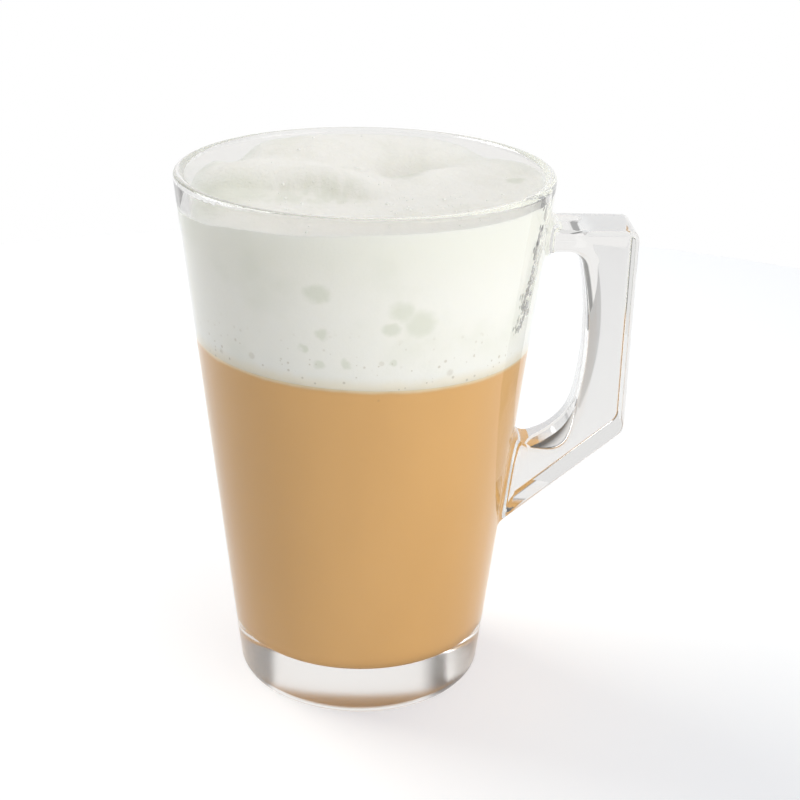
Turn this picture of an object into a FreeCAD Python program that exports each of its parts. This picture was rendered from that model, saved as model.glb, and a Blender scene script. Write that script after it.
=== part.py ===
"""Cappuccino in a clear pressed-glass mug.

Three pieces, each a solid of its own:
  glass_mug  tapered mug and its angular handle, pressed as one piece of glass
  coffee     milky coffee that fills the mug up to the foam
  milk_foam  thick milk foam, from the coffee to an uneven top just under the rim

Millimetres, +Z up. The origin is on the mug's axis, on the surface it stands on.
The handle points along +X.
"""

import FreeCAD, Part
import math
import os
import re

import Sketcher

V = FreeCAD.Vector
doc = FreeCAD.newDocument("cappuccino")


# ---------------------------------------------------------------- dimensions
DIMENSIONS = (
    # the mug's body: a straight cone whose wall thins towards the rim
    ("mug_height", 110.0),
    ("rim_radius", 37.7),
    ("foot_radius", 25.9),
    ("wall_at_rim", 2.2),
    ("wall_at_floor", 2.8),
    ("floor_thickness", 10.4),
    ("floor_corner", 5.0),
    ("heel_rounding", 3.0),
    ("rim_rounding", 1.0),
    # the handle: a level arm, an upright bar and a slanting brace
    ("handle_width", 14.0),
    ("handle_reach", 54.0),
    ("arm_below_rim", 10.2),
    ("arm_depth", 5.1),
    ("bar_depth", 8.6),
    ("elbow_rise", 4.6),
    ("brace_slope", 40.6),
    ("shoulder_rounding", 2.0),
    ("elbow_rounding", 3.5),
    ("outer_edge_rounding", 1.0),
    # the finger hole, bowed towards the bar
    ("finger_height", 42.3),
    ("finger_widest_rise", 23.6),
    ("finger_bow_radius", 70.0),
    ("finger_shoulder_rounding", 3.0),
    ("finger_elbow_rounding", 12.0),
    ("finger_ledge_flat", 1.3),
    ("finger_edge_rounding", 3.2),
    ("root_rounding", 3.0),
    # the drink: a coffee level that tilts down towards the handle, and the foam
    ("coffee_level", 76.0),
    ("coffee_tilt", 1.4),
    ("foam_below_rim", 3.0),
    ("foam_relief", 2.4),
)

sheet = doc.addObject("Spreadsheet::Sheet", "Dimensions")
for row, (alias, value) in enumerate(DIMENSIONS, start=1):
    sheet.set(f"A{row}", alias)
    sheet.set(f"B{row}", str(value))
    sheet.setAlias(f"B{row}", alias)
doc.recompute()

# Sizes that several pieces share, written with the sheet's aliases.
FLOOR_RADIUS = (
    "foot_radius + (rim_radius - foot_radius) * floor_thickness / mug_height - wall_at_floor"
)
MOUTH_RADIUS = "rim_radius - wall_at_rim"
ARM_TOP = "mug_height - arm_below_rim"
FINGER_TOP = "mug_height - arm_below_rim - arm_depth"
FINGER_FLOOR = f"{FINGER_TOP} - finger_height"
ELBOW_HEIGHT = f"{FINGER_FLOOR} + elbow_rise"


# ------------------------------------------------------------------- helpers
def on_sheet(text):
    """The expression with each alias, a name with an underscore, sent to the sheet."""
    return re.sub(r"\b([a-z]+(?:_[a-z]+)+)\b", r"Dimensions.\1", text)


def number(text):
    """What an expression on the sheet comes to."""
    return float(sheet.evalExpression(text))


def new_sketch(body, name):
    """An empty sketch on the body's own XZ plane, seen with +X across and +Z up."""
    plane = next(f for f in body.Origin.OriginFeatures if f.Role == "XZ_Plane")
    sketch = body.newObject("Sketcher::SketchObject", name)
    sketch.AttachmentSupport = [(plane, "")]
    sketch.MapMode = "FlatFace"
    return sketch


def bound(sketch, kind, *where, size):
    """Add a dimension to the sketch and bind it to an expression."""
    index = sketch.addConstraint(Sketcher.Constraint(kind, *where, number(size)))
    sketch.setExpression(f"Constraints[{index}]", on_sheet(size))


def place(sketch, edge, end, across=None, up=None):
    """Hold a point of an edge at a distance across and up from the sketch's origin."""
    if across is not None:
        bound(sketch, "DistanceX", -1, 1, edge, end, size=across)
    if up is not None:
        bound(sketch, "DistanceY", -1, 1, edge, end, size=up)


def closed_loop(sketch, corners):
    """Draw a loop of lines through corners given as (across, up) expressions and
    hold every corner at its place."""
    points = [V(number(across), number(up), 0) for across, up in corners]
    first = sketch.GeometryCount
    count = len(corners)
    for i in range(count):
        sketch.addGeometry(Part.LineSegment(points[i], points[(i + 1) % count]), False)
    for i, (across, up) in enumerate(corners):
        following = first + (i + 1) % count
        sketch.addConstraint(Sketcher.Constraint("Coincident", first + i, 2, following, 1))
        place(sketch, first + i, 1, across, up)


def revolve(body, kind, name, sketch):
    """Turn a sketch once round the mug's axis, as a solid or as a cut."""
    feature = body.newObject(kind, name)
    feature.Profile = sketch
    feature.ReferenceAxis = (sketch, ["V_Axis"])
    feature.Angle = 360.0
    doc.recompute()
    return feature


def fillet(body, name, radius, picks):
    """Round the edges of the body's last feature that picks(middle, edge) accepts."""
    base = body.Tip
    edges = []
    for index, edge in enumerate(base.Shape.Edges, start=1):
        middle = edge.valueAt((edge.FirstParameter + edge.LastParameter) / 2)
        if picks(middle, edge):
            edges.append(f"Edge{index}")
    feature = body.newObject("PartDesign::Fillet", name)
    feature.Base = (base, edges)
    feature.setExpression("Radius", on_sheet(radius))
    doc.recompute()
    return feature


def same(value, target, within=0.02):
    return abs(value - target) < within


def is_ring(edge, radius, height):
    """True for a whole circle round the mug's axis with this radius and height."""
    box = edge.BoundBox
    return same(box.XMax, radius) and same(box.XMin, -radius) and same(box.ZMin, height)


# ----------------------------------------------------------------- glass mug
# Pressed in one go from soda-lime glass: a thick clear floor, a tapered wall that
# thins towards the fire-polished rim, and a handle whose arms melt into the wall.
mug = doc.addObject("PartDesign::Body", "glass_mug")
mug.Label = "glass_mug"

outside = new_sketch(mug, "OutsideProfile")
closed_loop(
    outside,
    [("0", "0"), ("foot_radius", "0"), ("rim_radius", "mug_height"), ("0", "mug_height")],
)
revolve(mug, "PartDesign::Revolution", "Blank", outside)

# The handle from the side. It starts inside the blank, so that both arms join the wall
# all round, and the mug's hollow is cut after it.
INSET = "foot_radius - 7"
INSET_FOOT = f"{ELBOW_HEIGHT} - (handle_reach - ({INSET})) * tan(brace_slope)"
side = new_sketch(mug, "HandleSide")
closed_loop(
    side,
    [
        (INSET, ARM_TOP),
        ("handle_reach", ARM_TOP),
        ("handle_reach", ELBOW_HEIGHT),
        (INSET, INSET_FOOT),
    ],
)

# The finger hole: level above and below, bowed towards the bar, open to the wall.
HOLE_INSET = "foot_radius + 2"
BOW_CENTRE = (
    "handle_reach - bar_depth - finger_bow_radius",
    f"{FINGER_FLOOR} + finger_widest_rise",
)
# The elbow's rounding is limited by its ledge, which keeps a flat before the wall.
BOW_DEPTH = "sqrt(finger_bow_radius ^ 2 - finger_widest_rise ^ 2)"
LEDGE_LENGTH = (
    f"handle_reach - bar_depth - finger_bow_radius + {BOW_DEPTH} - foot_radius"
    f" - (rim_radius - foot_radius) * ({FINGER_FLOOR}) / mug_height"
)
FINGER_ELBOW = (
    f"min(finger_elbow_rounding; ({LEDGE_LENGTH} - finger_ledge_flat)"
    f" * {BOW_DEPTH} / (finger_bow_radius - finger_widest_rise))"
)
bow_centre = V(number(BOW_CENTRE[0]), number(BOW_CENTRE[1]), 0)
bow_radius = number("finger_bow_radius")
low_angle = math.asin((number(FINGER_FLOOR) - bow_centre.y) / bow_radius)
high_angle = math.asin((number(FINGER_TOP) - bow_centre.y) / bow_radius)
low_end = V(bow_centre.x + bow_radius * math.cos(low_angle), number(FINGER_FLOOR), 0)
high_end = V(bow_centre.x + bow_radius * math.cos(high_angle), number(FINGER_TOP), 0)
hole_inset = number(HOLE_INSET)
ceiling = side.addGeometry(Part.LineSegment(V(hole_inset, high_end.y, 0), high_end), False)
bow_circle = Part.Circle(bow_centre, V(0, 0, 1), bow_radius)
bow = side.addGeometry(Part.ArcOfCircle(bow_circle, low_angle, high_angle), False)
ledge = side.addGeometry(Part.LineSegment(low_end, V(hole_inset, low_end.y, 0)), False)
back = side.addGeometry(
    Part.LineSegment(V(hole_inset, low_end.y, 0), V(hole_inset, high_end.y, 0)), False
)
for one, its_end, other, other_end in (
    (ceiling, 2, bow, 2),
    (bow, 1, ledge, 1),
    (ledge, 2, back, 1),
    (back, 2, ceiling, 1),
):
    side.addConstraint(Sketcher.Constraint("Coincident", one, its_end, other, other_end))
place(side, bow, 3, *BOW_CENTRE)
bound(side, "Radius", bow, size="finger_bow_radius")
place(side, ceiling, 1, HOLE_INSET, FINGER_TOP)
place(side, ceiling, 2, up=FINGER_TOP)
place(side, ledge, 1, up=FINGER_FLOOR)
place(side, ledge, 2, HOLE_INSET, FINGER_FLOOR)

handle = mug.newObject("PartDesign::Pad", "Handle")
handle.Profile = side
handle.SideType = "Symmetric"
handle.setExpression("Length", on_sheet("handle_width"))
doc.recompute()

reach = number("handle_reach")
arm_top = number(ARM_TOP)
elbow_height = number(ELBOW_HEIGHT)
half_width = number("handle_width") / 2


def crosses_handle(edge):
    """True for a straight edge that runs from one side of the handle to the other."""
    box = edge.BoundBox
    return same(box.YLength, 2 * half_width) and same(box.XLength, 0) and same(box.ZLength, 0)


def corner_at(across, up):
    return lambda middle, edge: (
        crosses_handle(edge) and same(middle.x, across) and same(middle.z, up)
    )


fillet(mug, "Shoulder", "shoulder_rounding", corner_at(reach, arm_top))
fillet(mug, "Elbow", "elbow_rounding", corner_at(reach, elbow_height))
fillet(mug, "FingerShoulder", "finger_shoulder_rounding", corner_at(high_end.x, high_end.y))
fillet(mug, "FingerElbow", FINGER_ELBOW, corner_at(low_end.x, low_end.y))


def wall_radius(height):
    """Outer radius of the mug's cone at a height."""
    rise = number("rim_radius - foot_radius") / number("mug_height")
    return number("foot_radius") + rise * height


def on_side_face(middle, edge):
    """True for an edge along the handle's front or back face, clear of the wall."""
    clear = math.hypot(middle.x, middle.y) > wall_radius(middle.z) + 0.5
    return clear and same(abs(middle.y), half_width) and edge.BoundBox.YLength < 0.1


def within_finger_hole(middle):
    past_ceiling = middle.z < number(FINGER_TOP) + 0.1
    past_bow = middle.x < number("handle_reach - bar_depth") + 0.1
    return past_ceiling and past_bow and middle.z > number(FINGER_FLOOR) - 0.1


fillet(
    mug,
    "FingerEdges",
    "finger_edge_rounding",
    lambda middle, edge: on_side_face(middle, edge) and within_finger_hole(middle),
)
fillet(
    mug,
    "OuterEdges",
    "outer_edge_rounding",
    lambda middle, edge: on_side_face(middle, edge) and (
        same(middle.z, arm_top) or same(middle.x, reach) or middle.z < elbow_height
        or middle.x > number("handle_reach - bar_depth") + 4
    ),
)


def on_wall(middle, edge):
    """True for an edge where the handle meets the mug's wall."""
    return (
        middle.x > 0
        and same(math.hypot(middle.x, middle.y), wall_radius(middle.z), 0.01)
        and edge.BoundBox.YLength < 2 * half_width + 0.1
        and edge.BoundBox.ZMax < arm_top + 0.1
        and edge.BoundBox.ZMin > number(INSET_FOOT)
    )


fillet(mug, "Roots", "root_rounding", on_wall)

# The hollow: a thick floor, then a wall that thins on the way up.
hollow = new_sketch(mug, "HollowProfile")
closed_loop(
    hollow,
    [
        ("0", "floor_thickness"),
        (FLOOR_RADIUS, "floor_thickness"),
        (MOUTH_RADIUS, "mug_height"),
        ("0", "mug_height"),
    ],
)
revolve(mug, "PartDesign::Groove", "Hollow", hollow)
floor_radius, mouth_radius = number(FLOOR_RADIUS), number(MOUTH_RADIUS)
rim_radius, mug_height = number("rim_radius"), number("mug_height")
fillet(
    mug,
    "FloorCorner",
    "floor_corner",
    lambda middle, edge: is_ring(edge, floor_radius, number("floor_thickness")),
)
fillet(
    mug,
    "Rim",
    "rim_rounding",
    lambda middle, edge: (
        is_ring(edge, mouth_radius, mug_height) or is_ring(edge, rim_radius, mug_height)
    ),
)
fillet(mug, "Heel", "heel_rounding", lambda middle, edge: is_ring(edge, number("foot_radius"), 0))


# -------------------------------------------------------------------- coffee
# Coffee with hot milk. It takes the shape of the hollow, and its surface under the
# foam tilts down a little towards the handle.
coffee = doc.addObject("PartDesign::Body", "coffee")
coffee.Label = "coffee"

BRIM = "coffee_level + 4"
INNER_SLOPE = f"({MOUTH_RADIUS} - ({FLOOR_RADIUS})) / (mug_height - floor_thickness)"
BRIM_RADIUS = f"{FLOOR_RADIUS} + ({BRIM} - floor_thickness) * {INNER_SLOPE}"
poured = new_sketch(coffee, "PouredProfile")
closed_loop(
    poured,
    [
        ("0", "floor_thickness"),
        (FLOOR_RADIUS, "floor_thickness"),
        (BRIM_RADIUS, BRIM),
        ("0", BRIM),
    ],
)
revolve(coffee, "PartDesign::Revolution", "Poured", poured)
fillet(
    coffee,
    "PouredCorner",
    "floor_corner",
    lambda middle, edge: is_ring(edge, floor_radius, number("floor_thickness")),
)

HIGH_SIDE = "coffee_level + rim_radius * tan(coffee_tilt)"
LOW_SIDE = "coffee_level - rim_radius * tan(coffee_tilt)"
above = new_sketch(coffee, "AboveCoffee")
closed_loop(
    above,
    [
        ("0 - rim_radius", HIGH_SIDE),
        ("rim_radius", LOW_SIDE),
        ("rim_radius", "mug_height"),
        ("0 - rim_radius", "mug_height"),
    ],
)
level = coffee.newObject("PartDesign::Pocket", "Level")
level.Profile = above
level.SideType = "Symmetric"
level.setExpression("Length", on_sheet("rim_radius * 2"))
doc.recompute()


# ----------------------------------------------------------------- milk foam
# Stiff steamed-milk foam, spooned on until it nearly reaches the rim. Its top is
# free: a level just under the rim with these swells and dips on it. Places and
# lengths are shares of the mouth's radius, and rises are shares of foam_relief.
SWELLS = (
    # across, back, half length, half width, turn in degrees, rise
    (-0.30, 0.66, 0.42, 0.28, -10, 0.90),  # peak at the back left
    (0.20, 0.95, 0.70, 0.28, 0, 0.70),  # bank along the back wall
    (-0.64, 0.20, 0.42, 0.17, 4, 0.85),  # ridge from the left wall
    (-0.16, 0.02, 0.27, 0.12, -30, 0.75),  # its end, coming forward to the middle
    (0.38, 0.20, 0.25, 0.12, 45, 0.50),  # lip at the right of the hollow
    (0.20, 0.40, 0.20, 0.15, 20, -1.60),  # hollow behind the ridge's end
    (0.62, 0.62, 0.34, 0.11, 42, -0.40),  # valley that runs back from the hollow
    (0.97, 0.20, 0.22, 0.28, 0, 0.80),  # rise at the handle's side
    (0.88, 0.20, 0.10, 0.14, 0, -0.60),  # dimple in it
    (-1.00, -0.10, 0.15, 0.42, 0, -1.70),  # gap along the left wall
    (-0.86, -0.56, 0.15, 0.28, 33, -1.10),  # the gap's end, coming round to the front
    (-0.82, 0.66, 0.18, 0.14, -45, -1.10),  # gap at the back left wall
    (-0.46, -0.86, 0.34, 0.20, -28, -0.50),  # low place at the front left wall
)
TOP_GRID = 31


def foam_top(x, y):
    """Height of the foam: its level plus a bell-shaped swell for each row above."""
    height = number("mug_height - foam_below_rim")
    for across, back, half_length, half_width_share, turn, rise in SWELLS:
        dx, dy = x - across * mouth_radius, y - back * mouth_radius
        c, s = math.cos(math.radians(turn)), math.sin(math.radians(turn))
        along = (dx * c + dy * s) / (half_length * mouth_radius)
        aside = (dy * c - dx * s) / (half_width_share * mouth_radius)
        height += number("foam_relief") * rise * math.exp(-(along**2) - aside**2)
    return height


def inner_radius(height):
    """Radius of the mug's hollow at a height, above its rounded floor corner."""
    return floor_radius + number(INNER_SLOPE) * (height - number("floor_thickness"))


reach_out = 1.1 * mouth_radius
steps = [reach_out * (2 * i / (TOP_GRID - 1) - 1) for i in range(TOP_GRID)]
surface = Part.BSplineSurface()
surface.interpolate([[V(x, y, foam_top(x, y)) for y in steps] for x in steps])
below_top = surface.toShape().extrude(V(0, 0, -mug_height))

start = number("coffee_level") / 2
column = Part.makeCone(
    inner_radius(start), inner_radius(mug_height), mug_height - start, V(0, 0, start)
)
tilt_drop = rim_radius * math.tan(math.radians(number("coffee_tilt")))
wedge_points = [
    V(-rim_radius, -rim_radius, number("coffee_level") + tilt_drop),
    V(rim_radius, -rim_radius, number("coffee_level") - tilt_drop),
    V(rim_radius, -rim_radius, 0),
    V(-rim_radius, -rim_radius, 0),
]
wedge = Part.Face(Part.makePolygon(wedge_points + wedge_points[:1]))
under_foam = wedge.extrude(V(0, 2 * rim_radius, 0))
foam = doc.addObject("Part::Feature", "milk_foam")
foam.Label = "milk_foam"
foam.Shape = column.cut(under_foam).common(below_top).Solids[0]
foam.Placement = FreeCAD.Placement()
doc.recompute()


# -------------------------------------------------------------------- output
failed = [o.Label for o in doc.Objects if {"Invalid", "Error"} & set(o.State)]
pieces = (mug, coffee, foam)
for piece in pieces:
    shape = piece.Shape
    if shape.isNull() or not shape.isValid() or len(shape.Solids) != 1:
        failed.append(piece.Label)
if failed:
    raise RuntimeError("these didn't build: " + ", ".join(failed))

os.makedirs("parts", exist_ok=True)
for piece in pieces:
    piece.Shape.exportStep(f"parts/{piece.Label}.step")
    print(f"{piece.Label}: {piece.Shape.Volume / 1000:.1f} ml")
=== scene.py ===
"""Looks of a cappuccino in a clear pressed-glass mug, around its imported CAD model.

Metres, +Z up, the mug's axis on Z and its handle along +X, as in the model.
"""

import math

import bpy
import numpy as np
from mathutils import Matrix, Vector


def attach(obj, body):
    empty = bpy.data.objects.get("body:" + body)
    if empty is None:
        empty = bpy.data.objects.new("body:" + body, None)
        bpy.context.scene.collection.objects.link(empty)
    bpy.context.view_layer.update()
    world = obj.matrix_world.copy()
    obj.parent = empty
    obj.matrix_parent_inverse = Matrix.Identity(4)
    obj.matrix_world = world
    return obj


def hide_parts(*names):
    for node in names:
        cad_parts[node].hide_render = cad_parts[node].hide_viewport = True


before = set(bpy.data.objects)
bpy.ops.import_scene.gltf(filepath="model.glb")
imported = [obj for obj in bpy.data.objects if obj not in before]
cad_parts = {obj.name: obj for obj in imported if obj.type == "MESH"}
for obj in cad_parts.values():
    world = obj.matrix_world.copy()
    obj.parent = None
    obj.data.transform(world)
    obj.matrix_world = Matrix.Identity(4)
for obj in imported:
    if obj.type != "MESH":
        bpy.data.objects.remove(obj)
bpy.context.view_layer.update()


# ------------------------------------------------------------------ glass mug
# Clear soda-lime glass, pressed in a mould and fire-polished, so every edge is soft
# and the wall has no grain. The wall, floor and handle are one piece of glass.
GLASS_TINT = (0.915, 0.904, 0.888, 1)
GLASS_IOR = 1.52
HANDLE_HAZE = 0.02
HANDLE_HAZE_FROM = (0.0365, 0.0395)
UNDERSIDE_HAZE = 0.13
UNDERSIDE_UP_TO = (0.0001, 0.0006)
WAVINESS = 0.00004
PASSED_TINT = (0.93, 0.95, 0.945, 1)
SPENT_TINT = (0.84, 0.84, 0.835, 1)
MUG_BENDS = 3.5
HANDLE_BENDS = 1.5
HANDLE_BENDS_FROM = (0.0345, 0.0375)


def new_material(name):
    """An empty node material. Returns it, its node tree and its output node."""
    material = bpy.data.materials.new(name)
    material.use_nodes = True
    tree = material.node_tree
    tree.nodes.clear()
    return material, tree, tree.nodes.new("ShaderNodeOutputMaterial")


def set_socket(tree, socket, value):
    """Link an input socket to an output socket, or set it to a plain value."""
    if isinstance(value, bpy.types.NodeSocket):
        tree.links.new(value, socket)
    else:
        socket.default_value = value


def node(tree, kind, **sockets):
    """A node with its named input sockets set or linked."""
    made = tree.nodes.new(kind)
    for name, value in sockets.items():
        set_socket(tree, made.inputs[name.replace("_", " ")], value)
    return made


def math_node(tree, operation, *values):
    """A Math node over numbers or sockets. Returns its output socket."""
    made = tree.nodes.new("ShaderNodeMath")
    made.operation = operation
    for socket, value in zip(made.inputs, values):
        set_socket(tree, socket, value)
    return made.outputs[0]


def ramp(tree, value, low, high, at_low, at_high):
    """A smooth change from one value to another while the input goes low to high."""
    made = node(tree, "ShaderNodeMapRange", Value=value)
    made.interpolation_type = "SMOOTHSTEP"
    limits = {"From Min": low, "From Max": high, "To Min": at_low, "To Max": at_high}
    for name, number in limits.items():
        made.inputs[name].default_value = number
    return made.outputs["Result"]


def mix_shader(tree, share, first, second):
    """A Mix Shader node that goes from one shader node to a second by a share."""
    made = node(tree, "ShaderNodeMixShader", Fac=share)
    tree.links.new(first.outputs[0], made.inputs[1])
    tree.links.new(second.outputs[0], made.inputs[2])
    return made


glass, tree, out = new_material("clear_pressed_glass")
place = node(tree, "ShaderNodeTexCoord")
apart = node(tree, "ShaderNodeSeparateXYZ", Vector=place.outputs["Object"])
# The handle keeps a faint grain of the mould, and the underside a fine stipple.
on_handle = ramp(tree, apart.outputs["X"], *HANDLE_HAZE_FROM, 0.0, HANDLE_HAZE)
on_underside = ramp(tree, apart.outputs["Z"], *UNDERSIDE_UP_TO, UNDERSIDE_HAZE, 0.0)
haze = math_node(tree, "MAXIMUM", on_handle, on_underside)
swell = node(tree, "ShaderNodeTexNoise", Vector=place.outputs["Object"], Scale=28.0, Detail=1.0)
wave = node(tree, "ShaderNodeBump", Height=swell.outputs["Fac"], Strength=1.0, Distance=WAVINESS)
shell = node(
    tree,
    "ShaderNodeBsdfPrincipled",
    Base_Color=GLASS_TINT,
    Roughness=haze,
    IOR=GLASS_IOR,
    Normal=wave.outputs["Normal"],
    Transmission_Weight=1.0,
)
# Light reaches the drink through the wall, so the glass lets shadow rays pass. A ray
# that has already bent or turned twice goes straight through the handle's surface, a
# little weaker, and one that has done so four times goes through the rest.
passing = node(tree, "ShaderNodeBsdfTransparent", Color=PASSED_TINT)
path = node(tree, "ShaderNodeLightPath")
unseen = math_node(
    tree, "MAXIMUM", path.outputs["Is Shadow Ray"], path.outputs["Is Diffuse Ray"]
)
spent = node(tree, "ShaderNodeBsdfTransparent", Color=SPENT_TINT)
bends = ramp(tree, apart.outputs["X"], *HANDLE_BENDS_FROM, MUG_BENDS, HANDLE_BENDS)
deep = math_node(tree, "GREATER_THAN", path.outputs["Ray Depth"], bends)
mixed = mix_shader(tree, unseen, mix_shader(tree, deep, shell, spent), passing)
tree.links.new(mixed.outputs[0], out.inputs["Surface"])
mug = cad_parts["glass_mug"]
mug.data.materials[0] = glass


# --------------------------------------------------------------------- coffee
# Milky coffee, wet against the glass from the rounded floor up to the foam. It is
# opaque, and reaches a hair into the wall so that no air shows between them.
WALL_REACH = 0.00012
HOLLOW_FLOOR = 0.0104
HOLLOW_FOOT_RADIUS = 0.0242155
HOLLOW_MOUTH_RADIUS = 0.0355
MUG_HEIGHT = 0.110
FLOOR_CORNER = 0.005
COFFEE_LEVEL = 0.076
COFFEE_TILT = math.radians(1.4)
COFFEE_COLUMNS = 180
CORNER_RINGS, SIDE_RINGS, LEVEL_RINGS = 10, 40, 9
WALL_SLANT = (HOLLOW_MOUTH_RADIUS - HOLLOW_FOOT_RADIUS) / (MUG_HEIGHT - HOLLOW_FLOOR)


def hollow_radius(height):
    """Radius of the mug's hollow: it widens evenly from its floor to its mouth."""
    share = (height - HOLLOW_FLOOR) / (MUG_HEIGHT - HOLLOW_FLOOR)
    return HOLLOW_FOOT_RADIUS + (HOLLOW_MOUTH_RADIUS - HOLLOW_FOOT_RADIUS) * share


def level_at(x):
    """Height of the coffee under the foam: a plane that falls towards the handle."""
    return COFFEE_LEVEL - x * math.tan(COFFEE_TILT)


def ring_at(around, radius, height):
    """A ring about the axis: the radius times each turn's cosine and sine, at a
    height. Radius and height are one number, or one for each turn."""
    return np.stack([radius * np.cos(around), radius * np.sin(around), 0 * around + height], -1)


def smooth_piece(name, points, faces):
    """A smooth-shaded mesh object from its points and faces, put into the scene."""
    mesh = bpy.data.meshes.new(name)
    mesh.from_pydata(points, [], faces)
    mesh.polygons.foreach_set("use_smooth", np.ones(len(mesh.polygons), bool))
    mesh.update()
    piece = bpy.data.objects.new(name, mesh)
    bpy.context.scene.collection.objects.link(piece)
    return piece


def closed_round_mesh(name, rings, low_pole, high_pole):
    """A closed mesh from rings of points, ordered from the pole below, out, up and
    in again to the pole above. Each ring runs round +Z from +X towards +Y, so that
    the quads between neighbouring rings face out."""
    count, around = rings.shape[:2]
    points = np.concatenate([[low_pole], rings.reshape(-1, 3), [high_pole]])
    ring = np.arange(around)
    following = (ring + 1) % around
    start = 1 + np.arange(count - 1)[:, None] * around
    first, after = start + ring, start + following
    quads = np.stack([first, after, after + around, first + around], axis=-1).reshape(-1, 4)
    low_fan = np.stack([np.zeros(around, int), 1 + following, 1 + ring], axis=-1)
    last = 1 + (count - 1) * around
    top_pole = np.full(around, len(points) - 1)
    high_fan = np.stack([last + ring, last + following, top_pole], axis=-1)
    faces = low_fan.tolist() + quads.tolist() + high_fan.tolist()
    return smooth_piece(name, points.tolist(), faces)


turn = np.linspace(0, 2 * np.pi, COFFEE_COLUMNS, endpoint=False)
corner_turn = np.linspace(0, 1, CORNER_RINGS)
corner_sweep = math.pi / 2 - math.atan(WALL_SLANT)
corner_centre = HOLLOW_FOOT_RADIUS - FLOOR_CORNER * math.tan(corner_sweep / 2)
corner_radii = corner_centre + FLOOR_CORNER * np.sin(corner_sweep * corner_turn)
corner_heights = HOLLOW_FLOOR + FLOOR_CORNER * (1 - np.cos(corner_sweep * corner_turn))


def coffee_rings():
    """Rings of the coffee: flat floor, quarter-round corner, straight side up to the
    tilted level, and the level itself."""
    floor_radii = np.linspace(0.1, 0.95, 6) * corner_centre
    rings = [ring_at(turn, radius, HOLLOW_FLOOR) for radius in floor_radii]
    rings += [ring_at(turn, *point) for point in zip(corner_radii, corner_heights)]
    for ring in rings:
        ring[:, 2] -= WALL_REACH
        ring[:, :2] *= 1 + WALL_REACH / HOLLOW_FOOT_RADIUS
    start = corner_heights[-1]
    brim = level_at(hollow_radius(COFFEE_LEVEL) * np.cos(turn))
    for share in np.linspace(0, 1, SIDE_RINGS)[1:]:
        height = start + (brim - start) * share
        rings.append(ring_at(turn, hollow_radius(height) + WALL_REACH, height))
    for share in np.linspace(1, 0, LEVEL_RINGS)[1:-1]:
        radius = (hollow_radius(brim) + WALL_REACH) * share
        rings.append(ring_at(turn, radius, level_at(radius * np.cos(turn))))
    return np.array(rings)


coffee = closed_round_mesh(
    "milky_coffee", coffee_rings(), (0, 0, HOLLOW_FLOOR - WALL_REACH), (0, 0, COFFEE_LEVEL)
)

COFFEE_BROWN = (0.735, 0.408, 0.136, 1)
COFFEE_PALE = (0.86, 0.70, 0.46, 1)
COFFEE_CLOUD = (0.64, 0.345, 0.110, 1)
COFFEE_SPECK = (0.30, 0.13, 0.04, 1)
LEVEL_WAVER = 0.0008


def new_group(name, inputs, outputs):
    """An empty shader node group with named sockets. Returns its tree, its input
    node and its output node."""
    tree = bpy.data.node_groups.new(name, "ShaderNodeTree")
    for label, kind, value in inputs:
        socket = tree.interface.new_socket(label, in_out="INPUT", socket_type=kind)
        if value is not None:
            socket.default_value = value
    for label, kind in outputs:
        tree.interface.new_socket(label, in_out="OUTPUT", socket_type=kind)
    return tree, tree.nodes.new("NodeGroupInput"), tree.nodes.new("NodeGroupOutput")


def group_node(tree, group, **sockets):
    """A node that runs a node group, with its named sockets set or linked."""
    made = tree.nodes.new("ShaderNodeGroup")
    made.node_tree = group
    for name, value in sockets.items():
        set_socket(tree, made.inputs[name.replace("_", " ")], value)
    return made


def blend(tree, share, first, second):
    """A mix of two colours by a share. Returns its colour socket."""
    made = tree.nodes.new("ShaderNodeMix")
    made.data_type = "RGBA"
    for name, value in (("Factor", share), ("A", first), ("B", second)):
        set_socket(tree, made.inputs[name], value)
    return made.outputs["Result"]


def stray(tree, noise, width):
    """A noise node's value as a distance to either side of zero, over a width."""
    centred = math_node(tree, "SUBTRACT", noise.outputs["Fac"], 0.5)
    return math_node(tree, "MULTIPLY", centred, width)


# Round bubbles strewn over a surface: one in each cell, and only in a share of them.
bubble_dots, take, put = new_group(
    "bubble_dots",
    (
        ("Vector", "NodeSocketVector", None),
        ("Scale", "NodeSocketFloat", 900.0),
        ("Radius", "NodeSocketFloat", 0.2),
        ("Share", "NodeSocketFloat", 0.3),
    ),
    (("Dot", "NodeSocketFloat"),),
)
tree = bubble_dots
cells = node(
    tree, "ShaderNodeTexVoronoi", Vector=take.outputs["Vector"], Scale=take.outputs["Scale"]
)
lot = node(tree, "ShaderNodeSeparateColor", Color=cells.outputs["Color"])
chosen = math_node(tree, "LESS_THAN", lot.outputs["Red"], take.outputs["Share"])
size_lot = math_node(tree, "ADD", lot.outputs["Green"], 0.5)
reach = math_node(tree, "MULTIPLY", take.outputs["Radius"], size_lot)
share = math_node(tree, "DIVIDE", cells.outputs["Distance"], reach)
dot = ramp(tree, share, 0.55, 1.0, 1.0, 0.0)
tree.links.new(math_node(tree, "MULTIPLY", dot, chosen), put.inputs["Dot"])

brown, tree, out = new_material("milky_coffee")
place = node(tree, "ShaderNodeTexCoord")
apart = node(tree, "ShaderNodeSeparateXYZ", Vector=place.outputs["Object"])
# Depth under the tilted level, with a slight waver, fades the top millimetre to beige.
waver = node(tree, "ShaderNodeTexNoise", Vector=place.outputs["Object"], Scale=160.0, Detail=3.0)
tilt_drop = math_node(tree, "MULTIPLY", apart.outputs["X"], math.tan(COFFEE_TILT))
level = math_node(tree, "SUBTRACT", COFFEE_LEVEL, tilt_drop)
depth = math_node(tree, "SUBTRACT", level, apart.outputs["Z"])
wavy = math_node(tree, "ADD", depth, stray(tree, waver, LEVEL_WAVER))
beige = ramp(tree, wavy, -0.0001, 0.0009, 1.0, 0.0)
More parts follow.
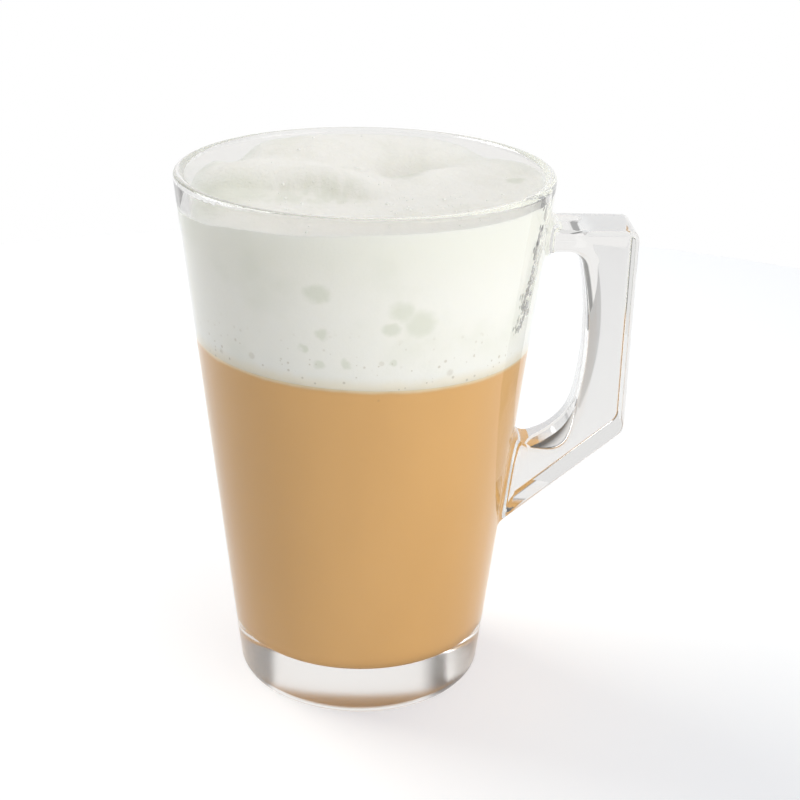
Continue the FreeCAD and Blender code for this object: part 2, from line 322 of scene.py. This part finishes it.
# Milk that has not quite mixed in: long, very faint upright clouds.
stretched = node(
    tree, "ShaderNodeMapping", Vector=place.outputs["Object"], Scale=(1.0, 1.0, 0.35)
)
cloud = node(
    tree, "ShaderNodeTexNoise", Vector=stretched.outputs["Vector"], Scale=70.0, Detail=2.0
)
clouded = ramp(tree, cloud.outputs["Fac"], 0.35, 0.75, 0.0, 0.35)
body_colour = blend(tree, clouded, COFFEE_BROWN, COFFEE_CLOUD)
body_colour = blend(tree, beige, body_colour, COFFEE_PALE)
# Small dark bubbles gather in the top three millimetres.
specks = group_node(
    tree, bubble_dots, Vector=place.outputs["Object"], Scale=700.0, Radius=0.16, Share=0.12
)
near_level = ramp(tree, wavy, 0.0005, 0.0030, 0.8, 0.0)
speckled = math_node(tree, "MULTIPLY", specks.outputs["Dot"], near_level)
body_colour = blend(tree, speckled, body_colour, COFFEE_SPECK)
body = node(
    tree,
    "ShaderNodeBsdfPrincipled",
    Base_Color=body_colour,
    Roughness=ramp(tree, cloud.outputs["Fac"], 0.3, 0.7, 0.40, 0.50),
    IOR=1.33,
    Specular_IOR_Level=0.15,
)
tree.links.new(body.outputs[0], out.inputs["Surface"])
coffee.data.materials.append(brown)
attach(coffee, "root")
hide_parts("coffee")


# ------------------------------------------------------------------ milk foam
# Steamed-milk foam, spooned on until it nearly reaches the rim. Its side lies wet
# against the glass, with air pockets beside the handle, and its top is left in soft
# peaks and a hollow.
FOAM_BELOW_RIM = 0.003
FOAM_RELIEF = 0.0024
FOAM_TOP_LIMIT = MUG_HEIGHT - 0.0002
FOAM_REACH = WALL_REACH * 0.8
FOAM_DIP = 0.0003
UNDER_FOAM_RINGS, WALL_FOAM_RINGS, TOP_FOAM_RINGS = 8, 125, 120
SWELLS = np.array([
    # across, back, half length, half width, turn in degrees, rise
    (-0.30, 0.66, 0.42, 0.28, -10, 0.90),  # peak at the back left
    (0.20, 0.95, 0.70, 0.28, 0, 0.70),  # bank along the back wall
    (-0.64, 0.20, 0.42, 0.17, 4, 0.85),  # ridge from the left wall
    (-0.16, 0.02, 0.27, 0.12, -30, 0.75),  # its end, coming forward to the middle
    (0.38, 0.20, 0.25, 0.12, 45, 0.50),  # lip at the right of the hollow
    (0.20, 0.40, 0.20, 0.15, 20, -1.60),  # hollow behind the ridge's end
    (0.62, 0.62, 0.34, 0.11, 42, -0.40),  # valley that runs back from the hollow
    (0.97, 0.20, 0.22, 0.28, 0, 0.80),  # rise at the handle's side
    (0.88, 0.20, 0.10, 0.14, 0, -0.60),  # dimple in it
    (-1.00, -0.10, 0.15, 0.42, 0, -1.70),  # gap along the left wall
    (-0.86, -0.56, 0.15, 0.28, 33, -1.10),  # the gap's end, coming round to the front
    (-0.82, 0.66, 0.18, 0.14, -45, -1.10),  # gap at the back left wall
    (-0.46, -0.86, 0.34, 0.20, -28, -0.50),  # low place at the front left wall
])
CRESTS = np.array([
    # across, back, half length, half width behind and before, turn in degrees, rise
    (-0.52, 0.10, 0.32, 0.15, 0.045, -2, 0.25),  # edge of the ridge from the left
    (-0.15, -0.07, 0.20, 0.13, 0.045, -33, 0.35),  # edge of its end
    (-0.50, -0.03, 0.36, 0.045, 0.26, -2, -0.75),  # step down before the ridge
    (-0.10, -0.19, 0.20, 0.045, 0.20, -33, -0.60),  # step down before its end
    (0.30, 0.02, 0.17, 0.035, 0.11, 50, 0.40),  # lip of the hollow
    (0.03, 0.24, 0.07, 0.05, 0.04, 70, 0.45),  # small peak by the hollow
])
SPOON_MARKS = 90
chance = np.random.default_rng(11)
small_swells = np.stack([
    chance.uniform(-1, 1, SPOON_MARKS),
    chance.uniform(-1, 1, SPOON_MARKS),
    chance.uniform(0.04, 0.16, SPOON_MARKS),
    chance.uniform(0.03, 0.07, SPOON_MARKS),
    chance.uniform(0, 180, SPOON_MARKS),
    chance.uniform(-0.14, 0.14, SPOON_MARKS),
], axis=-1)


def along_and_aside(x, y, across, back, turned):
    """Distances along and across a turned mark on the foam, in mouth radii."""
    dx = x / HOLLOW_MOUTH_RADIUS - across
    dy = y / HOLLOW_MOUTH_RADIUS - back
    c, s = math.cos(math.radians(turned)), math.sin(math.radians(turned))
    return dx * c + dy * s, dy * c - dx * s


def foam_height(x, y):
    """Height of the foam's top: its level, plus a bell-shaped swell for each row of
    the swells and the spoon's marks, plus a bell with unlike sides for each crest."""
    height = np.full(np.shape(x), MUG_HEIGHT - FOAM_BELOW_RIM)
    for across, back, half_length, half_width, turned, rise in np.vstack([SWELLS, small_swells]):
        along, aside = along_and_aside(x, y, across, back, turned)
        along, aside = along / half_length, aside / half_width
        height = height + FOAM_RELIEF * rise * np.exp(-(along**2) - aside**2)
    for across, back, half_length, behind, before, turned, rise in CRESTS:
        along, aside = along_and_aside(x, y, across, back, turned)
        along = along / half_length
        aside = np.where(aside > 0, aside / behind, -aside / before)
        height = height + FOAM_RELIEF * rise * np.exp(-(along**2) - aside**1.5)
    return np.minimum(height, FOAM_TOP_LIMIT)


# Columns of the foam's mesh: even all round, and fine where air pockets lie against
# the wall, beside the handle on its near side.
POCKETS_FROM, POCKETS_TO = math.radians(-35), math.radians(-9)
FINE_COLUMNS, EVEN_COLUMNS = 110, 280
fine = np.linspace(POCKETS_FROM, POCKETS_TO, FINE_COLUMNS, endpoint=False)
even = np.linspace(POCKETS_TO, POCKETS_FROM + 2 * np.pi, EVEN_COLUMNS, endpoint=False)
round_foam = np.concatenate([fine, even])
unit_x, unit_y = np.cos(round_foam), np.sin(round_foam)

# The pockets stray about a line that leans forward on its way down from the rim.
POCKETS = 120
POCKET_LOW, POCKET_HIGH = 0.0825, 0.1085
POCKET_COLUMN = 0.026
POCKET_TOP_TURN, POCKET_LEAN, POCKET_STRAY = -17.0, 11, 2.2  # degrees
WALL_AT_POCKETS = 0.0345
pocket_height = chance.uniform(POCKET_LOW, POCKET_HIGH, POCKETS)
pocket_turn = np.radians(
    POCKET_TOP_TURN
    - (POCKET_HIGH - pocket_height) / POCKET_COLUMN * POCKET_LEAN
    + chance.normal(0, POCKET_STRAY, POCKETS)
)
pockets = np.stack([
    # turn, height, half width, half height, depth
    pocket_turn,
    pocket_height,
    chance.uniform(0.00026, 0.00056, POCKETS),
    chance.uniform(0.00030, 0.00085, POCKETS),
    chance.uniform(0.00030, 0.00042, POCKETS),
], axis=-1)
large_pockets = np.array([
    # turn, height, half width, half height, depth
    (math.radians(-19), 0.1052, 0.0009, 0.0017, 0.0005),
    (math.radians(-23), 0.0985, 0.0010, 0.0022, 0.0005),
])


def pocket_depth(turned, height):
    """Depth of the air pockets in the foam's side: a flat-bottomed bell for each."""
    depth = np.zeros(np.shape(turned))
    for at, up, half_width, half_height, deep in np.vstack([pockets, large_pockets]):
        aside = (np.mod(turned - at + np.pi, 2 * np.pi) - np.pi) * WALL_AT_POCKETS / half_width
        along = (height - up) / half_height
        depth = np.maximum(depth, deep * np.exp(-((aside**2 + along**2) ** 2)))
    return depth


def foam_rings():
    """Rings of the foam: its flat underside just in the coffee, its side up the
    wall with its air pockets, and the top from the wall in to the middle."""
    low = level_at(hollow_radius(COFFEE_LEVEL) * unit_x) - FOAM_DIP
    low_radius = hollow_radius(low) + FOAM_REACH
    # The top meets the wall where the foam's height and the wall's radius agree.
    contact = np.full(round_foam.shape, MUG_HEIGHT - FOAM_BELOW_RIM)
    for _ in range(6):
        edge = hollow_radius(contact) + FOAM_REACH
        contact = foam_height(edge * unit_x, edge * unit_y)
    rings = []
    for share in np.linspace(0, 1, UNDER_FOAM_RINGS)[1:]:
        radius = low_radius * share
        rings.append(ring_at(round_foam, radius, level_at(radius * unit_x) - FOAM_DIP))
    for share in np.linspace(0, 1, WALL_FOAM_RINGS)[1:]:
        height = low + (contact - low) * share
        radius = hollow_radius(height) + FOAM_REACH
        radius = radius - pocket_depth(round_foam, height) * (share < 1)
        rings.append(ring_at(round_foam, radius, height))
    for share in 1 - np.linspace(0, 1, TOP_FOAM_RINGS)[1:-1]:
        radius = edge * share
        rings.append(ring_at(round_foam, radius, foam_height(radius * unit_x, radius * unit_y)))
    return np.array(rings)


foam = closed_round_mesh(
    "milk_foam_spooned",
    foam_rings(),
    (0, 0, COFFEE_LEVEL - FOAM_DIP),
    (0, 0, float(foam_height(0.0, 0.0))),
)

FOAM_WHITE = (0.925, 0.907, 0.852, 1)
FOAM_THIN_AND_SHADE = (0.755, 0.765, 0.665, 1)
FOAM_PIT = (0.38, 0.38, 0.335, 1)
FOAM_SPECK = (0.56, 0.50, 0.40, 1)
FOAM_CREAM = (0.90, 0.80, 0.62, 1)
FOAM_WAVER = 0.0012
THIN_AND_SHADE_SPOTS = (
    # centre, half size: on the side behind the near wall, then on the top
    ((-0.0072, -0.031, 0.0963), (0.0027, 0.008, 0.0018)),
    ((0.0080, -0.030, 0.0930), (0.0027, 0.008, 0.0024)),
    ((0.0112, -0.030, 0.0902), (0.0034, 0.008, 0.0030)),
    ((0.0060, -0.030, 0.0895), (0.0018, 0.008, 0.0014)),
    ((-0.0062, -0.030, 0.0885), (0.0014, 0.008, 0.0012)),
    ((-0.0018, -0.030, 0.0824), (0.0011, 0.008, 0.0011)),
    ((-0.0066, -0.030, 0.0820), (0.0011, 0.008, 0.0010)),
    ((0.0065, -0.030, 0.0828), (0.0009, 0.008, 0.0008)),
    ((-0.0095, -0.029, 0.0850), (0.0009, 0.008, 0.0010)),
    # painted shade on the top: in the hollow, over the left part, and in the dimple at the
    # handle's side
    ((0.0090, 0.0070, 0.1070), (0.0050, 0.006, 0.004)),
    ((-0.0260, -0.0060, 0.1060), (0.0110, 0.012, 0.008)),
    ((0.0310, 0.0030, 0.1090), (0.0022, 0.003, 0.004)),
)


def vector_node(tree, operation, *values):
    """A Vector Math node over vectors or sockets. Returns the node."""
    made = tree.nodes.new("ShaderNodeVectorMath")
    made.operation = operation
    for socket, value in zip(made.inputs, values):
        set_socket(tree, socket, value)
    return made


# A soft oval spot about a point of the drink, to place one mark on a surface.
soft_spot, take, put = new_group(
    "soft_spot",
    (
        ("Vector", "NodeSocketVector", None),
        ("Centre", "NodeSocketVector", (0, 0, 0)),
        ("Half Size", "NodeSocketVector", (1, 1, 1)),
    ),
    (("Spot", "NodeSocketFloat"),),
)
tree = soft_spot
offset = vector_node(tree, "SUBTRACT", take.outputs["Vector"], take.outputs["Centre"])
scaled = vector_node(tree, "DIVIDE", offset.outputs["Vector"], take.outputs["Half Size"])
length = vector_node(tree, "LENGTH", scaled.outputs["Vector"])
tree.links.new(ramp(tree, length.outputs["Value"], 0.45, 1.25, 1.0, 0.0), put.inputs["Spot"])

white, tree, out = new_material("milk_foam")
place = node(tree, "ShaderNodeTexCoord")
apart = node(tree, "ShaderNodeSeparateXYZ", Vector=place.outputs["Object"])
# On the side, watery places where the foam hardly touches the wall look a greenish grey; on the
# top the same grey is painted shade.
warp = node(tree, "ShaderNodeTexNoise", Vector=place.outputs["Object"], Scale=420.0, Detail=2.0)
shifted = vector_node(
    tree,
    "MULTIPLY_ADD",
    warp.outputs["Color"],
    (0.0022, 0.0022, 0.0022),
    place.outputs["Object"],
)
thin_and_shade = None
for centre, half_size in THIN_AND_SHADE_SPOTS:
    spot = group_node(
        tree, soft_spot, Vector=shifted.outputs["Vector"], Centre=centre, Half_Size=half_size
    ).outputs["Spot"]
    thin_and_shade = spot if thin_and_shade is None else math_node(tree, "MAXIMUM", thin_and_shade, spot)
# Painted shade on the slope before the ridge, which faces away from the light, with streaks
# where the spoon pulled away.
pulled = node(
    tree, "ShaderNodeMapping", Vector=place.outputs["Object"], Scale=(1.0, 0.16, 0.16)
)
streak = node(
    tree, "ShaderNodeTexNoise", Vector=pulled.outputs["Vector"], Scale=420.0, Detail=2.0
)
shade_before_ridge = group_node(
    tree,
    soft_spot,
    Vector=place.outputs["Object"],
    Centre=(-0.014, -0.0075, 0.106),
    Half_Size=(0.019, 0.0095, 0.008),
)
streaks = ramp(tree, streak.outputs["Fac"], 0.38, 0.62, 0.25, 0.85)
streaked_shade = math_node(tree, "MULTIPLY", shade_before_ridge.outputs["Spot"], streaks)
thin_and_shade = math_node(tree, "MAXIMUM", thin_and_shade, streaked_shade)
patchy = node(tree, "ShaderNodeTexNoise", Vector=place.outputs["Object"], Scale=75.0, Detail=4.0)
wide = ramp(tree, patchy.outputs["Fac"], 0.45, 0.80, 0.0, 0.45)
# The grey share: the watery places and the painted shade, with wider grey patches at random.
grey_share = math_node(tree, "MAXIMUM", math_node(tree, "MULTIPLY", thin_and_shade, 0.75), wide)
colour = blend(tree, grey_share, FOAM_WHITE, FOAM_THIN_AND_SHADE)
# The lowest three millimetres have taken up a little coffee.
tilt_drop = math_node(tree, "MULTIPLY", apart.outputs["X"], math.tan(COFFEE_TILT))
untilted = math_node(tree, "ADD", apart.outputs["Z"], tilt_drop)
over = math_node(tree, "SUBTRACT", untilted, COFFEE_LEVEL)
over = math_node(tree, "ADD", over, stray(tree, warp, FOAM_WAVER))
colour = blend(tree, ramp(tree, over, -0.0003, 0.0030, 0.90, 0.0), colour, FOAM_CREAM)
# Bubbles gather low down, just over the coffee: few large ones and more small ones.
low_down = ramp(tree, apart.outputs["Z"], COFFEE_LEVEL + 0.001, COFFEE_LEVEL + 0.014, 1.0, 0.0)
for scale, filled, strength in ((330.0, 0.34, 0.35), (800.0, 0.40, 0.6)):
    dots = group_node(
        tree, bubble_dots, Vector=place.outputs["Object"], Scale=scale, Radius=0.24, Share=filled
    )
    low_dots = math_node(tree, "MULTIPLY", dots.outputs["Dot"], low_down)
    colour = blend(tree, math_node(tree, "MULTIPLY", low_dots, strength), colour, FOAM_SPECK)
# Against the wall the side is smooth; the open top shows its froth.
fine_froth = node(
    tree, "ShaderNodeTexNoise", Vector=place.outputs["Object"], Scale=1500.0, Detail=3.0
)
coarse_froth = node(
    tree, "ShaderNodeTexNoise", Vector=place.outputs["Object"], Scale=380.0, Detail=3.0
)
coarse_grain = math_node(tree, "MULTIPLY", coarse_froth.outputs["Fac"], 2.5)
grain = math_node(tree, "ADD", fine_froth.outputs["Fac"], coarse_grain)
upright = node(tree, "ShaderNodeNewGeometry")
slope = node(tree, "ShaderNodeSeparateXYZ", Vector=upright.outputs["Normal"])
open_top = ramp(tree, slope.outputs["Z"], 0.3, 0.7, 0.12, 0.8)
relief = node(tree, "ShaderNodeBump", Height=grain, Strength=open_top, Distance=0.00028)
# Painted shade: the side turns greyer towards the rim.
on_side = ramp(tree, slope.outputs["Z"], 0.3, 0.6, 1.0, 0.0)
shade_to_rim = ramp(tree, apart.outputs["Z"], 0.090, 0.1065, 0.0, 0.35)
colour = blend(tree, math_node(tree, "MULTIPLY", shade_to_rim, on_side), colour, FOAM_THIN_AND_SHADE)
# The bottoms of the air pockets, away from the wall, are in shade.
level_plane = node(
    tree, "ShaderNodeCombineXYZ", X=apart.outputs["X"], Y=apart.outputs["Y"]
)
radial = vector_node(tree, "LENGTH", level_plane.outputs["Vector"])
wall_radius = math_node(
    tree,
    "MULTIPLY_ADD",
    apart.outputs["Z"],
    WALL_SLANT,
    HOLLOW_FOOT_RADIUS - HOLLOW_FLOOR * WALL_SLANT,
)
inset = math_node(tree, "SUBTRACT", wall_radius, radial.outputs["Value"])
pit = ramp(tree, inset, 0.00002, 0.00020, 0.0, 0.85)
colour = blend(tree, math_node(tree, "MULTIPLY", pit, on_side), colour, FOAM_PIT)
froth = node(
    tree,
    "ShaderNodeBsdfPrincipled",
    Base_Color=colour,
    Roughness=0.6,
    IOR=1.33,
    Normal=relief.outputs["Normal"],
    Specular_IOR_Level=0.2,
    Subsurface_Weight=0.35,
    Subsurface_Radius=(1.0, 0.95, 0.85),
    Subsurface_Scale=0.006,
)
tree.links.new(froth.outputs[0], out.inputs["Surface"])
foam.data.materials.append(white)
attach(foam, "root")
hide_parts("milk_foam")


# --------------------------------------------------------------- foam bubbles
# Single bubbles of milk film, a fraction of a millimetre across, that stand open on
# the foam's top, most of them on its near right half.
BUBBLES = 90
NEAR_BUBBLES = 60
NEAR_CENTRE, NEAR_SPREAD = (0.010, -0.016), (0.012, 0.007)
BUBBLE_REACH = 0.033
BUBBLE_LIMIT = 0.0335
BUBBLE_RADIUS = (0.00014, 0.00042)
BUBBLE_SUNK = 0.1
FILM_PALE = (0.97, 0.96, 0.92, 1)
FILM_DULL = (0.90, 0.89, 0.84, 1)


def bubble_mesh(name, centres, radii, around=10, rows=7):
    """Closed balls, one for each centre and radius: rings of latitude between a
    low and a high pole, all worked out as whole arrays."""
    polar = np.linspace(-np.pi / 2, np.pi / 2, rows + 2)[1:-1]
    round_turn = np.arange(around) * 2 * np.pi / around
    ring = np.stack([
        np.cos(polar)[:, None] * np.cos(round_turn),
        np.cos(polar)[:, None] * np.sin(round_turn),
        np.sin(polar)[:, None] + 0 * round_turn,
    ], -1).reshape(-1, 3)
    ball = np.concatenate([[(0, 0, -1)], ring, [(0, 0, 1)]])
    points = centres[:, None, :] + radii[:, None, None] * ball[None]
    step = np.arange(around)
    after = (step + 1) % around
    row = 1 + np.arange(rows - 1)[:, None] * around
    corners = [row + step, row + after, row + around + after, row + around + step]
    quads = np.stack(corners, -1).reshape(-1, 4)
    last = 1 + (rows - 1) * around
    low_fan = np.stack([0 * step, 1 + after, 1 + step], -1)
    high_fan = np.stack([last + step, last + after, 0 * step + rows * around + 1], -1)
    shift = np.arange(len(centres))[:, None, None] * len(ball)
    faces = (shift + quads).reshape(-1, 4).tolist()
    for fan in (low_fan, high_fan):
        faces += (shift + fan).reshape(-1, 3).tolist()
    return smooth_piece(name, points.reshape(-1, 3).tolist(), faces)


scatter = np.random.default_rng(29)
spread = np.concatenate([
    scatter.normal(NEAR_CENTRE, NEAR_SPREAD, (NEAR_BUBBLES, 2)),
    scatter.uniform(-BUBBLE_REACH, BUBBLE_REACH, (BUBBLES - NEAR_BUBBLES, 2)),
])
spread = spread[np.hypot(spread[:, 0], spread[:, 1]) < BUBBLE_LIMIT]
smallest, largest = BUBBLE_RADIUS
size = smallest + (largest - smallest) * scatter.random(len(spread)) ** 2.5
stand = foam_height(spread[:, 0], spread[:, 1]) - BUBBLE_SUNK * size
bubbles = bubble_mesh("foam_bubbles", np.column_stack([spread, stand]), size)

film, tree, out = new_material("foam_bubble_film")
place = node(tree, "ShaderNodeTexCoord")
tint = node(tree, "ShaderNodeTexNoise", Vector=place.outputs["Object"], Scale=500.0)
skin = node(
    tree,
    "ShaderNodeBsdfPrincipled",
    Base_Color=blend(tree, tint.outputs["Fac"], FILM_PALE, FILM_DULL),
    Roughness=ramp(tree, tint.outputs["Fac"], 0.3, 0.7, 0.14, 0.26),
    IOR=1.33,
    Specular_IOR_Level=0.6,
)
tree.links.new(skin.outputs[0], out.inputs["Surface"])
bubbles.data.materials.append(film)
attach(bubbles, "root")


# ------------------------------------------------------- floor, room and lamps
# A plain pale floor, a hair under the mug, that keeps a soft shadow and stays white
# to the edge of view. The room is a soft white one, brighter to the right and front.
FLOOR_GAP = 0.0003
FLOOR_RADIUS = 0.34
SEEN_FLOOR = (0.92, 0.90, 0.82, 1)
SEEN_GLOW = (0.26, 0.29, 0.37, 1)
PLAIN_FLOOR = 0.90
FLOOR_BEYOND = 0.75
GLOW_THROUGH_GLASS = 0.50
BACKDROP_EDGE = (0.118, 0.138)
BACKDROP_BEHIND = (0.03, 0.08)
WHITE = (1, 1, 1, 1)

around_floor = np.linspace(0, 2 * np.pi, 96, endpoint=False)
disc = ring_at(around_floor, FLOOR_RADIUS, -FLOOR_GAP)
floor_mesh = bpy.data.meshes.new("pale_floor")
floor_mesh.from_pydata(disc.tolist(), [], [list(range(len(disc)))])
floor = bpy.data.objects.new("pale_floor", floor_mesh)
bpy.context.scene.collection.objects.link(floor)

paper, tree, out = new_material("pale_floor")
# To the eye, in mirrors and through glass, most of the floor's white is its own.
sheet = node(tree, "ShaderNodeBsdfDiffuse", Color=SEEN_FLOOR)
glow = node(tree, "ShaderNodeEmission", Color=SEEN_GLOW, Strength=1.0)
path = node(tree, "ShaderNodeLightPath")
mirrors = math_node(
    tree, "MULTIPLY", path.outputs["Is Reflection Ray"], path.outputs["Is Glossy Ray"]
)
seen = math_node(tree, "MAXIMUM", path.outputs["Is Camera Ray"], mirrors)
# Through glass it is a little dimmer, and more so beyond the backdrop's edges.
spot = node(tree, "ShaderNodeTexCoord")
aside = node(tree, "ShaderNodeSeparateXYZ", Vector=spot.outputs["Object"])
sideways = math_node(tree, "ABSOLUTE", aside.outputs["X"])
behind = ramp(tree, aside.outputs["Y"], *BACKDROP_BEHIND, 0.0, 1.0)
past_edge = ramp(tree, sideways, *BACKDROP_EDGE, 0.0, 1.0)
outside = math_node(tree, "MULTIPLY", past_edge, behind)
within = ramp(tree, outside, 0.0, 1.0, GLOW_THROUGH_GLASS, 0.0)
through = math_node(tree, "MULTIPLY", path.outputs["Is Transmission Ray"], within)
seen = math_node(tree, "MAXIMUM", seen, through)
both = node(tree, "ShaderNodeAddShader")
tree.links.new(sheet.outputs[0], both.inputs[0])
tree.links.new(glow.outputs[0], both.inputs[1])
beyond = ramp(tree, outside, 0.0, 1.0, PLAIN_FLOOR, FLOOR_BEYOND)
lit = math_node(tree, "MULTIPLY", path.outputs["Is Diffuse Ray"], PLAIN_FLOOR)
beyond = math_node(tree, "MAXIMUM", beyond, lit)
grey = node(tree, "ShaderNodeCombineColor", Red=beyond, Green=beyond, Blue=beyond)
plain = node(tree, "ShaderNodeBsdfDiffuse", Color=grey.outputs["Color"])
shown = mix_shader(tree, seen, plain, both)
tree.links.new(shown.outputs[0], out.inputs["Surface"])
floor.data.materials.append(paper)

world = bpy.data.worlds.new("soft_studio")
bpy.context.scene.world = world
world.use_nodes = True
tree = world.node_tree
tree.nodes.clear()
out = tree.nodes.new("ShaderNodeOutputWorld")
direction = node(tree, "ShaderNodeTexCoord")
facing = node(tree, "ShaderNodeSeparateXYZ", Vector=direction.outputs["Generated"])
azimuth = math_node(tree, "ARCTAN2", facing.outputs["X"], facing.outputs["Y"])


def by_bearing(low, high, at_low, at_high):
    """A brightness that changes between two bearings of the room, in degrees from
    straight behind the mug round towards its handle."""
    return ramp(tree, azimuth, math.radians(low), math.radians(high), at_low, at_high)


# Light that falls on the drink: brighter from the right and the front than from the
# left, and weaker from overhead.
fill = ramp(tree, facing.outputs["X"], -0.9, 0.9, 0.26, 1.30)
from_above = ramp(tree, facing.outputs["Z"], 0.20, 0.9, 1.04, 0.34)
from_front = ramp(tree, facing.outputs["Y"], -1.0, 0.0, 1.50, 1.0)
fill = math_node(tree, "MULTIPLY", fill, from_above)
fill = math_node(tree, "MULTIPLY", fill, from_front)
room = node(tree, "ShaderNodeBackground", Color=WHITE, Strength=fill)
# What glass mirrors: a white backdrop between two dim side walls, and a dim front.
left_wall = by_bearing(-46, -16, 0.10, 1.0)
right_wall = math_node(
    tree, "MAXIMUM", by_bearing(34, 44, 1.0, 0.12), by_bearing(48, 56, 0.12, 1.0)
)
front = by_bearing(120, 150, 1.0, 0.12)
walls = math_node(tree, "MULTIPLY", left_wall, right_wall)
walls = math_node(tree, "MULTIPLY", walls, front)
overhead = ramp(tree, facing.outputs["Z"], 0.75, 0.9, 0.0, 1.0)
walls = math_node(tree, "MAXIMUM", walls, overhead)
mirrored = node(tree, "ShaderNodeBackground", Color=WHITE, Strength=walls)
# Seen through the glass, a dim strip stands right beside each edge of the backdrop.
dim_right = math_node(
    tree, "MAXIMUM", by_bearing(35, 42, 0.95, 0.30), by_bearing(68, 84, 0.0, 0.90)
)
dim_left = math_node(
    tree, "MAXIMUM", by_bearing(-36, -22, 0.18, 1.0), by_bearing(-84, -68, 0.90, 0.0)
)
sides = math_node(tree, "MINIMUM", dim_right, dim_left)
sides = math_node(tree, "MAXIMUM", sides, overhead)
passed = node(tree, "ShaderNodeBackground", Color=WHITE, Strength=sides)
# A ray that turned inside the glass counts as passed through it, not as mirrored.
path = node(tree, "ShaderNodeLightPath")
first_turn = math_node(tree, "LESS_THAN", path.outputs["Ray Depth"], 1.5)
mirror_share = math_node(tree, "MULTIPLY", path.outputs["Is Reflection Ray"], first_turn)
in_glass = mix_shader(tree, mirror_share, passed, mirrored)
backdrop = node(tree, "ShaderNodeBackground", Color=WHITE, Strength=1.0)
by_glass = math_node(
    tree, "MAXIMUM", path.outputs["Is Glossy Ray"], path.outputs["Is Transmission Ray"]
)
lighting = mix_shader(tree, by_glass, room, in_glass)
surround = mix_shader(tree, path.outputs["Is Camera Ray"], lighting, backdrop)
tree.links.new(surround.outputs[0], out.inputs["Surface"])


def soft_lamp(name, place, target, size, power):
    """A square area lamp at a place, turned to a target."""
    data = bpy.data.lights.new(name, "AREA")
    data.size = size
    data.energy = power
    lamp = bpy.data.objects.new(name, data)
    bpy.context.scene.collection.objects.link(lamp)
    lamp.location = place
    away = Vector(place) - Vector(target)
    lamp.rotation_euler = away.to_track_quat("Z", "Y").to_euler()


soft_lamp("key_from_the_right", (0.60, -0.45, 0.35), (0, 0, 0.05), size=0.6, power=1.3)
soft_lamp("top_from_behind_left", (-0.36, 0.22, 0.52), (0, 0, 0.03), size=0.34, power=2.0)


# --------------------------------------------------------------------- camera
# It stands in front of the mug and above the rim, and looks down into it, turned a
# little off the axis and a little out of level.
CAMERA_PLACE = (0, -0.2956, 0.18303)
PITCH, YAW, ROLL = 0.3921, 0.0265, 0.0236
LENS, SENSOR_WIDTH = 68.98, 36.0

camera = bpy.data.objects.new("camera", bpy.data.cameras.new("camera"))
bpy.context.scene.collection.objects.link(camera)
bpy.context.scene.camera = camera
camera.data.sensor_width = SENSOR_WIDTH
camera.data.lens = LENS
camera.data.clip_start = 0.01
aim = (
    Matrix.Rotation(-YAW, 4, "Z")
    @ Matrix.Rotation(math.pi / 2 - PITCH, 4, "X")
    @ Matrix.Rotation(ROLL, 4, "Z")
)
camera.matrix_world = Matrix.Translation(CAMERA_PLACE) @ aim

scene = bpy.context.scene
scene.view_settings.view_transform = "Standard"
